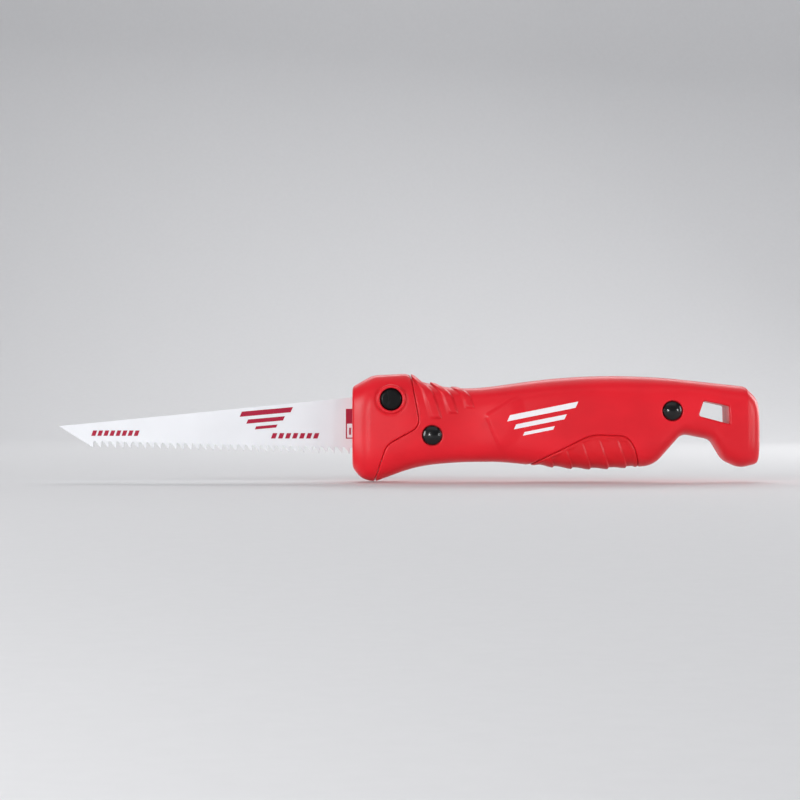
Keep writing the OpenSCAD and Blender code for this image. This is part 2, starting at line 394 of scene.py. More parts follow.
def thinned(points: Array, faces: Array, keep: float) -> tuple[Array, Array]:
    """Joins the faces of flat stretches.

    Args:
        points: a mesh's points.
        faces: its faces.
        keep: the share of the triangles that stays.

    Returns:
        The points and the triangles that are left.
    """
    piece = mesh_object("thinning", points, faces.tolist())
    modifier = piece.modifiers.new("thin", "DECIMATE")
    modifier.ratio = keep
    modifier.use_collapse_triangulate = True
    mesh = evaluated(piece).data
    flat = np.zeros(len(mesh.vertices) * 3, np.float32)
    mesh.vertices.foreach_get("co", flat)
    corners = np.zeros(len(mesh.polygons) * 3, np.int32)
    mesh.polygons.foreach_get("vertices", corners)
    bpy.data.objects.remove(piece)
    bpy.data.meshes.remove(mesh)
    return flat.reshape(-1, 3).astype(float) / MM, corners.reshape(-1, 3)


def bevelled(piece: bpy.types.Object, width: float, segments: int = 2,
             degrees: float = 35) -> bpy.types.Object:
    """Rounds an object's sharp edges.

    Args:
        piece: the object.
        width: the rounding's width in millimetres.
        segments: faces across the rounding.
        degrees: the least angle of an edge that is rounded.

    Returns:
        The same object with its final mesh.
    """
    modifier = piece.modifiers.new("round", "BEVEL")
    modifier.width = width * MM
    modifier.segments = segments
    modifier.limit_method = "ANGLE"
    modifier.angle_limit = math.radians(degrees)
    return evaluated(piece)


def drawn_plate(name: str, outline: Sequence[Point2], y0: float, y1: float,
                holes: Sequence[tuple[Point2, float]] = ()) -> bpy.types.Object:
    """Draws an outline in the side view out along Y, with round holes through it.

    Args:
        name: the new object's name.
        outline: the outline's points.
        y0: where it starts.
        y1: where it ends.
        holes: centre and radius of each round hole.

    Returns:
        The new closed object.
    """
    loops = [[tuple(p) for p in outline]]
    for (hx, hz), radius in holes:
        turn = [2 * math.pi * k / HOLE_SIDES for k in range(HOLE_SIDES)]
        loops.append([(hx + radius * math.cos(a), hz + radius * math.sin(a)) for a in turn])
    work = bmesh.new()
    edges = []
    for loop in loops:
        verts = [work.verts.new((x * MM, y0 * MM, z * MM)) for x, z in loop]
        edges += [work.edges.new((a, b)) for a, b in zip(verts, verts[1:] + verts[:1])]
    bmesh.ops.triangle_fill(work, edges=edges, use_beauty=True, normal=(0, -1, 0))
    pushed = bmesh.ops.extrude_face_region(work, geom=list(work.faces))
    moved = [v for v in pushed["geom"] if isinstance(v, bmesh.types.BMVert)]
    bmesh.ops.translate(work, verts=moved, vec=(0, (y1 - y0) * MM, 0))
    bmesh.ops.recalc_face_normals(work, faces=work.faces)
    bmesh.ops.dissolve_limit(work, angle_limit=FLAT_ANGLE, verts=work.verts, edges=work.edges)
    mesh = bpy.data.meshes.new(name)
    work.to_mesh(mesh)
    work.free()
    return linked(name, mesh)


def joined(name: str, pieces: Sequence[bpy.types.Object]) -> bpy.types.Object:
    """Puts the meshes of several objects into one object and removes the others."""
    work = bmesh.new()
    for piece in pieces:
        work.from_mesh(piece.data)
    mesh = bpy.data.meshes.new(name)
    work.to_mesh(mesh)
    work.free()
    for finish in pieces[0].data.materials:
        mesh.materials.append(finish)
    for piece in pieces:
        bpy.data.meshes.remove(piece.data)
    return linked(name, mesh)


@dataclass(frozen=True)
class Piece:
    """A finished object, and what it stands for in the CAD model."""

    shape: bpy.types.Object
    body: str
    slot: str
    nodes: tuple[str, ...] = ()

    def mount(self) -> None:
        """Makes the object ride on its body and hides the nodes that it stands for."""
        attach(self.shape, self.body)
        if self.nodes:
            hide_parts(*self.nodes)
        self.shape.data.validate()
        log.info("%s: %d faces on body %s", self.shape.name, len(self.shape.data.polygons), self.body)


# ---------------------------------------------------------------------------------------------
# Geometry Nodes: one small builder for the trees that repeat a shape
# ---------------------------------------------------------------------------------------------


class GrowTree:
    """Builds one Geometry Nodes tree with named inputs and runs it on an object."""

    def __init__(self, name: str) -> None:
        """Starts an empty tree.

        Args:
            name: the tree's name.
        """
        self.tree = bpy.data.node_groups.new(name, "GeometryNodeTree")
        self.tree.interface.new_socket("Geometry", in_out="INPUT", socket_type="NodeSocketGeometry")
        self.tree.interface.new_socket("Geometry", in_out="OUTPUT", socket_type="NodeSocketGeometry")
        self.entry = self.tree.nodes.new("NodeGroupInput")
        self.exit = self.tree.nodes.new("NodeGroupOutput")
        self.values: dict[str, object] = {}

    def size(self, name: str, value: object, kind: str = "NodeSocketFloat") -> bpy.types.NodeSocket:
        """Adds a named input.

        Args:
            name: the input's name.
            value: what it is set to when the tree runs.
            kind: the socket's type.

        Returns:
            The socket to link from.
        """
        socket = self.tree.interface.new_socket(name, in_out="INPUT", socket_type=kind)
        self.values[socket.identifier] = value
        return self.entry.outputs[name]

    @property
    def geometry(self) -> bpy.types.NodeSocket:
        """The geometry that the tree is run on."""
        return self.entry.outputs["Geometry"]

    def node(self, kind: str, settings: Values = None, inputs: Values = None) -> bpy.types.Node:
        """Adds a node.

        Args:
            kind: the node's type.
            settings: its properties, which are set first.
            inputs: a value or a link for each named or numbered input.

        Returns:
            The node.
        """
        node = self.tree.nodes.new(kind)
        for key, value in (settings or {}).items():
            setattr(node, key, value)
        for key, value in (inputs or {}).items():
            if isinstance(value, bpy.types.NodeSocket):
                self.tree.links.new(value, node.inputs[key])
            else:
                node.inputs[key].default_value = value
        return node

    def maths(self, operation: str, *terms: Union[float, bpy.types.NodeSocket]) -> bpy.types.NodeSocket:
        """Adds a Math node over the terms and returns its result."""
        return self.node("ShaderNodeMath", {"operation": operation}, dict(enumerate(terms))).outputs[0]

    def run(self, name: str, seed: bpy.types.Object, result: bpy.types.NodeSocket,
            finish: bpy.types.Material) -> bpy.types.Object:
        """Ends the tree, runs it on the seed object and keeps the plain mesh.

        Args:
            name: the finished object's name.
            seed: the object that the tree starts from.
            result: the geometry that the tree makes.
            finish: the material of the result.

        Returns:
            The finished object.
        """
        real = self.node("GeometryNodeRealizeInstances", None, {"Geometry": result}).outputs[0]
        coated = self.node("GeometryNodeSetMaterial", None, {"Geometry": real, "Material": finish})
        self.tree.links.new(coated.outputs[0], self.exit.inputs[0])
        modifier = seed.modifiers.new(name, "NODES")
        modifier.node_group = self.tree
        for identifier, value in self.values.items():
            modifier[identifier] = value
        piece = evaluated(seed)
        piece.name = name
        piece.data.name = name
        return piece


# ---------------------------------------------------------------------------------------------
# Finishes
# ---------------------------------------------------------------------------------------------


class Tone:
    """One value in a finish's node tree. Python's operators on it add Math nodes."""

    def __init__(self, tree: "FinishTree", socket: bpy.types.NodeSocket) -> None:
        """Wraps a socket.

        Args:
            tree: the tree it is in.
            socket: the output socket that gives the value.
        """
        self.tree = tree
        self.socket = socket

    def __add__(self, other: "Term") -> "Tone":
        """The sum of both."""
        return self.tree.maths("ADD", self, other)

    __radd__ = __add__

    def __sub__(self, other: "Term") -> "Tone":
        """This less the other."""
        return self.tree.maths("SUBTRACT", self, other)

    def __rsub__(self, other: "Term") -> "Tone":
        """The other less this."""
        return self.tree.maths("SUBTRACT", other, self)

    def __mul__(self, other: "Term") -> "Tone":
        """The product of both."""
        return self.tree.maths("MULTIPLY", self, other)

    __rmul__ = __mul__

    def band(self, low: float, high: float) -> "Tone":
        """Rises smoothly from 0 at low to 1 at high."""
        settings = {"interpolation_type": "SMOOTHSTEP"}
        inputs = {"Value": self, "From Min": low, "From Max": high}
        return self.tree.node("ShaderNodeMapRange", settings, inputs)


Term = Union[Tone, float]
Colour = tuple[float, float, float]


class FinishTree:
    """Builds the node tree of one finish."""

    MIX_SHARE, MIX_A, MIX_B, MIX_RESULT = 0, 6, 7, 2

    def __init__(self, name: str) -> None:
        """Starts a material with an empty tree.

        Args:
            name: the material's name.
        """
        self.material = bpy.data.materials.new(name)
        self.material.use_nodes = True
        self.tree = self.material.node_tree
        self.tree.nodes.clear()
        self.place = self.node("ShaderNodeTexCoord", output="Object")

    def node(self, kind: str, settings: Values = None, inputs: Values = None,
             output: Union[str, int, None] = 0) -> Union[Tone, None]:
        """Adds a node.

        Args:
            kind: the node's type.
            settings: its properties, which are set first.
            inputs: a value or a link for each named or numbered input.
            output: the output that is wanted, or None for a node that has none.

        Returns:
            That output.
        """
        node = self.tree.nodes.new(kind)
        for key, value in (settings or {}).items():
            setattr(node, key, value)
        for key, value in (inputs or {}).items():
            if isinstance(value, Tone):
                self.tree.links.new(value.socket, node.inputs[key])
            elif node.inputs[key].type == "RGBA":
                node.inputs[key].default_value = (*value, 1)
            else:
                node.inputs[key].default_value = value
        return None if output is None else Tone(self, node.outputs[output])

    def maths(self, operation: str, *terms: Term) -> Tone:
        """Adds a Math node over the terms."""
        return self.node("ShaderNodeMath", {"operation": operation}, dict(enumerate(terms)))

    def noise(self, per_mm: float, detail: float = 2, rough: float = 0.5,
              stretch: Colour = (1, 1, 1), shift: float = 0) -> Tone:
        """Adds noise that is fixed to the object.

        Args:
            per_mm: features in a millimetre.
            detail: octaves.
            rough: how strong the finer octaves are.
            stretch: share of the features along each axis.
            shift: moves the pattern, so that two of them differ.

        Returns:
            The noise, from 0 to 1.
        """
        place = self.node("ShaderNodeMapping", None,
                          {"Vector": self.place, "Location": (shift, shift, shift), "Scale": stretch})
        return self.node("ShaderNodeTexNoise", None,
                         {"Vector": place, "Scale": per_mm / MM, "Detail": detail, "Roughness": rough})

    def axis(self, name: str) -> Tone:
        """The object's own X, Y or Z, in millimetres."""
        return self.node("ShaderNodeSeparateXYZ", None, {"Vector": self.place}, name) * (1 / MM)

    def mark(self, name: str) -> Tone:
        """An attribute that the mesh carries."""
        return self.node("ShaderNodeAttribute", {"attribute_name": name}, None, "Fac")

    def mix(self, share: Term, a: Union[Tone, Colour], b: Union[Tone, Colour]) -> Tone:
        """Mixes two colours by a share from 0 to 1."""
        node = self.tree.nodes.new("ShaderNodeMix")
        node.data_type = "RGBA"
        for index, value in ((self.MIX_SHARE, share), (self.MIX_A, a), (self.MIX_B, b)):
            if isinstance(value, Tone):
                self.tree.links.new(value.socket, node.inputs[index])
            else:
                node.inputs[index].default_value = (*value, 1) if isinstance(value, tuple) else value
        return Tone(self, node.outputs[self.MIX_RESULT])

    def bump(self, height: Tone, depth: float, under: Union[Tone, None] = None) -> Tone:
        """Raises the surface by a height from 0 to 1, with a depth in millimetres."""
        inputs = {"Height": height, "Distance": depth * MM, "Strength": 1.0}
        if under is not None:
            inputs["Normal"] = under
        return self.node("ShaderNodeBump", None, inputs)

    def surface(self, **sockets: Union[Term, Colour]) -> bpy.types.Material:
        """Ends the tree in one surface shader.

        Args:
            **sockets: the shader's inputs, with underscores for the spaces in their names.

        Returns:
            The finished material.
        """
        inputs = {key.replace("_", " "): value for key, value in sockets.items()}
        shader = self.node("ShaderNodeBsdfPrincipled", None, inputs)
        self.node("ShaderNodeOutputMaterial", None, {"Surface": shader}, None)
        return self.material


@dataclass(frozen=True)
class MouldedPlastic:
    """Moulded plastic with a fine grain, faint flow marks, rubbed edges and painted shade in its creases
    and hollows.
    """

    colour: Colour
    rubbed: Colour
    # Darker tone of the flow marks, and also the colour of the painted shade in hollows.
    deep: Colour
    gloss: float = 0.34
    grain: float = 5.5
    grain_depth: float = 0.012
    shine: float = 0.3

    def material(self, name: str) -> bpy.types.Material:
        """Builds the material.

        Args:
            name: its name.

        Returns:
            The material.
        """
        tree = FinishTree(name)
        flow = tree.noise(0.035, 3, 0.55, (1, 1, 1.6))
        fine = tree.noise(self.grain, 3, 0.6)
        patchy = tree.noise(0.6, 3, 0.6, shift=3)
        worn = (tree.mark("wear") * (0.35 + patchy)).band(0.45, 1.1)
        # Painted shade: hollows and creases are darkened towards the deep colour.
        cavity_shaded = tree.mark("crease").band(0.1, 0.95)
        tinted = tree.mix(flow.band(0.3, 0.7) * 0.35, self.colour, self.deep)
        colour = tree.mix(worn * 0.4, tree.mix(cavity_shaded * 0.8, tinted, self.deep), self.rubbed)
        rough = self.gloss + (fine - 0.5) * 0.12 + (patchy - 0.5) * 0.08 + cavity_shaded * 0.12 - worn * 0.06
        waves = tree.bump(tree.noise(0.12, 2, 0.5, shift=7), 0.05)
        normal = tree.bump(fine, self.grain_depth, waves)
        return tree.surface(Base_Color=colour, Roughness=rough, Normal=normal,
                            Specular_IOR_Level=self.shine)


@dataclass(frozen=True)
class GlossBlack:
    """Black enamel or hard plastic with faint smears."""

    colour: Colour = (0.005, 0.005, 0.0055)
    gloss: float = 0.14
    grain_depth: float = 0.002
    shine: float = 0.45

    def material(self, name: str) -> bpy.types.Material:
        """Builds the material.

        Args:
            name: its name.

        Returns:
            The material.
        """
        tree = FinishTree(name)
        smears = tree.noise(0.5, 4, 0.6, (1, 1, 0.4))
        fine = tree.noise(7, 2, 0.5, shift=2)
        worn = (tree.mark("wear") * (0.3 + smears)).band(0.5, 1.1)
        colour = tree.mix(worn * 0.35, self.colour, (0.045, 0.044, 0.043))
        rough = self.gloss + smears.band(0.4, 0.8) * 0.1 + worn * 0.1
        return tree.surface(Base_Color=colour, Roughness=rough, Specular_IOR_Level=self.shine,
                            Normal=tree.bump(fine, self.grain_depth))


@dataclass(frozen=True)
class BladePaint:
    """White paint over steel, worn through to the metal at the points of the teeth."""

    paint: Colour = (0.73, 0.74, 0.77)
    steel: Colour = (0.56, 0.57, 0.58)
    worn_to: float = 0.75

    def material(self, name: str, first_tip: Point2, tip_slope: float) -> bpy.types.Material:
        """Builds the material.

        Args:
            name: its name.
            first_tip: x and z of the first tooth's point.
            tip_slope: how the line of points rises along the blade.

        Returns:
            The material.
        """
        tree = FinishTree(name)
        above_tips = tree.axis("Z") - first_tip[1] - (tree.axis("X") - first_tip[0]) * tip_slope
        mottled = tree.noise(0.9, 4, 0.65)
        scratches = tree.noise(1.1, 3, 0.6, (0.15, 1, 6), shift=5)
        bare = 1 - (above_tips + (mottled - 0.5) * 1.2).band(0.1, self.worn_to)
        dust = tree.noise(0.05, 3, 0.5, shift=9).band(0.35, 0.75)
        painted = tree.mix(dust * 0.25 + scratches.band(0.62, 0.8) * 0.15, self.paint, (0.64, 0.65, 0.67))
        colour = tree.mix(bare * 0.8, painted, self.steel)
        rough = 0.36 + (scratches - 0.5) * 0.16 + dust * 0.06 - bare * 0.04
        normal = tree.bump(scratches, 0.004, tree.bump(tree.noise(1.6, 3, 0.5, shift=1), 0.006))
        return tree.surface(Base_Color=colour, Roughness=rough, Metallic=bare * 0.85, Normal=normal)


@dataclass(frozen=True)
class PrintInk:
    """Ink printed on a smooth surface, a little uneven."""

    colour: Colour
    thin: Colour
    gloss: float = 0.42
    shine: float = 0.2

    def material(self, name: str) -> bpy.types.Material:
        """Builds the material.

        Args:
            name: its name.

        Returns:
            The material.
        """
        tree = FinishTree(name)
        speckle = tree.noise(3.5, 3, 0.6)
        colour = tree.mix(speckle.band(0.5, 0.75) * 0.5, self.colour, self.thin)
        return tree.surface(Base_Color=colour, Roughness=self.gloss + (speckle - 0.5) * 0.2,
                            Normal=tree.bump(speckle, 0.003), Specular_IOR_Level=self.shine)


@dataclass(frozen=True)
class WorkedSteel:
    """Steel that was stamped, ground or drawn: fine lines along one axis and a little oil."""

    colour: Colour = (0.5, 0.5, 0.51)
    gloss: float = 0.32
    lines: Colour = (1, 8, 8)

    def material(self, name: str) -> bpy.types.Material:
        """Builds the material.

        Args:
            name: its name.

        Returns:
            The material.
        """
        tree = FinishTree(name)
        brushed = tree.noise(1.2, 3, 0.6, self.lines)
        oily = tree.noise(0.25, 3, 0.5, shift=4).band(0.35, 0.7)
        colour = tree.mix(oily * 0.4 + brushed.band(0.4, 0.8) * 0.2, self.colour, (0.3, 0.29, 0.28))
        rough = self.gloss + (brushed - 0.5) * 0.2 - oily * 0.08
        normal = tree.bump(brushed, 0.006)
        return tree.surface(Base_Color=colour, Roughness=rough, Metallic=1.0, Normal=normal)


class Finish(Enum):
    """The finishes of the saw, by what they are on."""

    # The third colour of each red is the flow-mark tone and also the painted shade in creases and hollows.
    HANDLE_RED = MouldedPlastic((0.77, 0.0125, 0.024), (0.82, 0.06, 0.07), (0.5, 0.006, 0.012))
    PAD_RED = MouldedPlastic((0.7, 0.0105, 0.0185), (0.78, 0.055, 0.065), (0.42, 0.004, 0.01), gloss=0.36,
                             grain=4.5, grain_depth=0.016)
    POST_BLACK = GlossBlack()
    BUTTON_BLACK = GlossBlack((0.005, 0.005, 0.0055), 0.24, 0.004, 0.14)
    CRIMSON_INK = PrintInk((0.36, 0.002, 0.03), (0.42, 0.02, 0.06))
    WHITE_INK = PrintInk((0.87, 0.86, 0.88), (0.74, 0.66, 0.67))
    STAMPED_STEEL = WorkedSteel()
    GROUND_STEEL = WorkedSteel((0.58, 0.58, 0.59), 0.2, (8, 1, 8))
    SPRING_STEEL = WorkedSteel((0.42, 0.42, 0.44), 0.28, (4, 4, 4))

    @cached_property
    def material(self) -> bpy.types.Material:
        """The finish's one material, made when it is first used."""
        return self.value.material(self.name.lower())


def dressed(piece: bpy.types.Object, finish: bpy.types.Material) -> bpy.types.Object:
    """Gives an object one finish all over."""
    piece.data.materials.clear()
    piece.data.materials.append(finish)
    return piece


def dress_nodes(names: Sequence[str], finish: bpy.types.Material) -> None:
    """Gives nodes of the CAD model one finish, and leaves their shape alone."""
    for name in names:
        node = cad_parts[name]
        if not node.material_slots:
            node.data.materials.append(finish)
        for slot in node.material_slots:
            slot.material = finish


# ---------------------------------------------------------------------------------------------
# The saw
# ---------------------------------------------------------------------------------------------


@dataclass(frozen=True)
class BodyForm:
    """The outer shape that the nose, the handle and the finger pads share."""

    top: tuple[Corner, ...] = (
        (0, 11.8, 0), (8.5, 16.6, 2), (22.6, 17.3, 1.2), (28.5, 14, 2), (38, 11.7, 4), (47, 11, 5),
        (56, 11.5, 6), (92, 16.5, 20), (126, 16.1, 14), (164.5, 11.9, 1.2), (169.9, 6.6, 3), (171, -6, 0),
    )
    bottom: tuple[Corner, ...] = (
        (0, -22.3, 0), (3.5, -26.7, 2.5), (9, -28.2, 2.2), (27, -21.6, 8), (44, -19.9, 8), (62, -19.8, 5),
        (98, -23.5, 14), (126.2, -21.4, 4.5), (138, -8, 3), (150.2, -10.4, 2.5), (155.4, -19.2, 2.5),
        (162.5, -22.4, 3), (169.9, -20.5, 1.5), (171, -15, 0),
    )
    plan: tuple[Corner, ...] = (
        (0, 9.2, 0), (5.2, 11.8, 3), (26, 12, 5), (46, 10.6, 10), (95, 13.5, 20), (140, 10.6, 14),
        (162, 10.5, 3), (169.9, 9.8, 6), (171, 3.5, 0),
    )
    seam: tuple[Corner, ...] = ((21.9, 30, 0), (28.3, -4.8, 4), (14.3, -12.6, 3), (7.2, -34, 0))
    side_bend: float = 2 / 0.8
    edge_bend: float = 2 / 0.45
    belly_half: float = 12.5
    belly_round: float = 1.0
    end: float = 170.9
    end_round: float = 1.2
    seam_gap: float = 0.07
    seam_closed: float = 0.01
    seam_deep: tuple[float, float] = (-1.3, -0.7)
    halves_apart: float = 0.03
    parting_round: float = 0.18
    probe: float = 0.05
    least_slope: float = 0.03

    @cached_property
    def edges(self) -> tuple[Array, Array, Array]:
        """The top edge, the bottom edge and the half thickness, each as x and value rows."""
        return tuple(rounded_line(line, closed=False).T for line in (self.top, self.bottom, self.plan))

    @cached_property
    def nose_side(self) -> Outline:
        """The region of the side view that belongs to the nose."""
        return Outline(((-FAR, 30, 0), *self.seam, (-FAR, -34, 0)), margin=6)

    def level(self, x: Array, y: Array, z: Array) -> Array:
        """Rises from 0 on the body's middle line through 1 at its surface."""
        top, bottom, half = (np.interp(x, *edge) for edge in self.edges)
        middle, reach = (top + bottom) / 2, (top - bottom) / 2
        across = (np.abs(y) / half) ** self.side_bend
        return (across + (np.abs(z - middle) / reach) ** self.edge_bend) ** (1 / self.side_bend)

    def distance(self, x: Array, y: Array, z: Array, raised: Union[Array, float] = 0.0) -> Array:
        """Measures how far points are outside the body.

        Args:
            x: places along the saw.
            y: places across it.
            z: heights.
            raised: how far the surface stands out there.

        Returns:
            Distances, which are negative inside.
        """
        e = self.probe
        dx = self.level(x + e, y, z) - self.level(x - e, y, z)
        dy = self.level(x, y + e, z) - self.level(x, y - e, z)
        dz = self.level(x, y, z + e) - self.level(x, y, z - e)
        slope = np.sqrt(dx * dx + dy * dy + dz * dz) / (2 * e)
        body = (self.level(x, y, z) - 1) / np.maximum(slope, self.least_slope) - raised
        body = meet(body, np.abs(y) - self.belly_half, self.belly_round)
        return meet(body, x - self.end, self.end_round)

    def gap(self, outer: Array) -> Array:
        """Half the gap of the seam, which closes below the surface."""
        return self.seam_closed + (self.seam_gap - self.seam_closed) * smooth_step(*self.seam_deep, outer)

    def left_half(self, solid: Array, y: Array) -> Array:
        """Keeps what is on the -Y side of the parting plane."""
        return meet(solid, y + self.halves_apart, self.parting_round)


@dataclass(frozen=True)
class BindingPost:
    """A domed post that goes in from the button side, and the socket screw that meets it."""

    place: str
    at: Point2
    seat: float
    head_r: float = 4.0
    head_rim: float = 0.8
    head_dome: float = 1.1
    shank_r: float = 2.5
    screw_r: float = 1.5
    short: float = 1.7
    counterbore_r: float = 4.3
    socket_r: float = 1.7
    socket_deep: float = 1.5
    thread_pitch: float = 0.8
    thread_deep: float = 0.14
    play: float = 0.05
    head_root: float = 1.0
    rim_round: float = 0.3
    tip_round: float = 0.2
    bore_round: float = 0.15
    socket_round: float = 0.18
    net: SurfaceNet = SurfaceNet(0.15)

    @property
    def top(self) -> float:
        """Y of the head's highest point, on the left side."""
        return -self.seat - self.head_rim - self.head_dome

    def room(self, x: Array, y: Array, z: Array) -> Array:
        """Space in the handle for the shank and the head."""
        shank = bar_distance(self.at, self.shank_r + self.play, x, z)
        head = np.maximum(bar_distance(self.at, self.counterbore_r, x, z), self.seat - np.abs(y))
        return np.minimum(shank, head)

    def head(self, x: Array, y: Array, z: Array) -> Array:
        """The domed head."""
        ball = (self.head_r**2 + self.head_dome**2) / (2 * self.head_dome)
        out = np.hypot(x - self.at[0], z - self.at[1])
        dome = np.hypot(out, y - self.top - ball) - ball
        return np.maximum(meet(dome, out - self.head_r, self.rim_round), y + self.seat)

    def post(self, x: Array, y: Array, z: Array) -> Array:
        """The post's solid, with the threaded bore that takes the screw."""
        out = np.hypot(x - self.at[0], z - self.at[1])
        shank = meet(out - self.shank_r, y - self.seat + self.short, self.tip_round)
        shank = np.maximum(shank, self.top + self.head_root - y)
        bore = np.maximum(out - self.screw_r - self.play, -y)
        return cut(np.minimum(self.head(x, y, z), shank), bore, self.bore_round)

    def screw(self, x: Array, y: Array, z: Array) -> Array:
        """The screw's solid as it would lie on the left side, with its thread and socket."""
        dx, dz = x - self.at[0], z - self.at[1]
        out = np.hypot(dx, dz)
        turn = y / self.thread_pitch + np.arctan2(dz, dx) / (2 * math.pi)
        groove = self.thread_deep * (0.5 - 0.5 * np.cos(2 * math.pi * turn))
        shank = meet(out - self.screw_r + groove, y + self.screw_r, self.rim_round)
        shank = np.maximum(shank, self.top + self.head_root - y)
        flats = [np.abs(dx * math.cos(a) + dz * math.sin(a)) for a in np.radians((30, 90, 150))]
        hexagon = np.maximum.reduce(np.broadcast_arrays(*flats)) - self.socket_r * math.cos(math.pi / 6)
        socket = np.maximum(hexagon, y - self.top - self.socket_deep)
        return cut(np.minimum(self.head(x, y, z), shank), socket, self.socket_round)

    def build(self) -> list[Piece]:
        """Makes the post and the screw.

        Returns:
            Both pieces.
        """
        (x, z), r = self.at, self.head_r
        solids = (("post", self.post, self.seat, Side.LEFT), ("screw", self.screw, 0, Side.RIGHT))
        pieces = []
        for word, solid, end, side in solids:
            skin = self.net.skin(solid, ((x - r, self.top, z - r), (x + r, end, z + r)))
            shape = dressed(skin.piece(f"{self.place}_{word}_domed", side), Finish.POST_BLACK.material)
            pieces.append(Piece(shape, "handle", "black_parts", (f"{self.place}_{word}",)))
        return pieces


@dataclass(frozen=True)
class Button:
    """The release button: a chamfered cap with a flange that keeps it in the nose."""

    at: Point2 = (16.2, 6.5)
    radius: float = 4.55
    gap: float = 0.15
    top: float = -12.2
    flat_r: float = 3.75
    chamfer: float = 0.55
    flange_r: float = 5.6
    flange_gap: float = 0.25
    flange_thick: float = 1.0
    shoulder: float = -8.0
    rod_at: Point2 = (16.2, 8.7)
    rod_r: float = 1.4
    rod_deep: float = 2.0
    edge_round: float = 0.1
    rim_round: float = 0.15
    net: SurfaceNet = SurfaceNet(0.13)

    def solid(self, x: Array, y: Array, z: Array) -> Array:
        """The button's solid."""
        out = np.hypot(x - self.at[0], z - self.at[1])
        wide, deep = self.radius - self.flat_r, self.chamfer
        slant = ((out - self.flat_r) * deep + (self.top - y) * wide) / math.hypot(wide, deep)
        base = y - self.shoulder - self.flange_thick
        cap = meet(meet(out - self.radius, self.top - y, self.edge_round), slant, self.rim_round)
        flange = meet(out - self.flange_r, self.shoulder - y, self.rim_round)
        rod = np.maximum(bar_distance(self.rod_at, self.rod_r, x, z), self.shoulder - self.rod_deep - y)
        return cut(np.maximum(join(cap, flange, self.edge_round), base), rod, self.edge_round)

    def room(self, x: Array, y: Array, z: Array) -> Array:
        """Space in the nose for the cap and its flange."""
        guide = bar_distance(self.at, self.radius + self.gap, x, z)
        flange = bar_distance(self.at, self.flange_r + self.flange_gap, x, z)
        return np.minimum(guide, np.maximum(flange, self.shoulder - y))

    def build(self) -> list[Piece]:
        """Makes the button and dresses the lock behind it.

        Returns:
            The button.
        """
        (x, z), r = self.at, self.flange_r
        end = self.shoulder + self.flange_thick
        skin = self.net.skin(self.solid, ((x - r, self.top, z - r), (x + r, end, z + r)))
        dress_nodes(("push_rod", "lock_pin"), Finish.GROUND_STEEL.material)
        dress_nodes(("lock_yoke",), Finish.STAMPED_STEEL.material)
        dress_nodes(("yoke_clip", "button_spring"), Finish.SPRING_STEEL.material)
        cap = dressed(skin.piece("release_button_cap"), Finish.BUTTON_BLACK.material)
        return [Piece(cap, "release", "button_plastic", ("release_button",))]


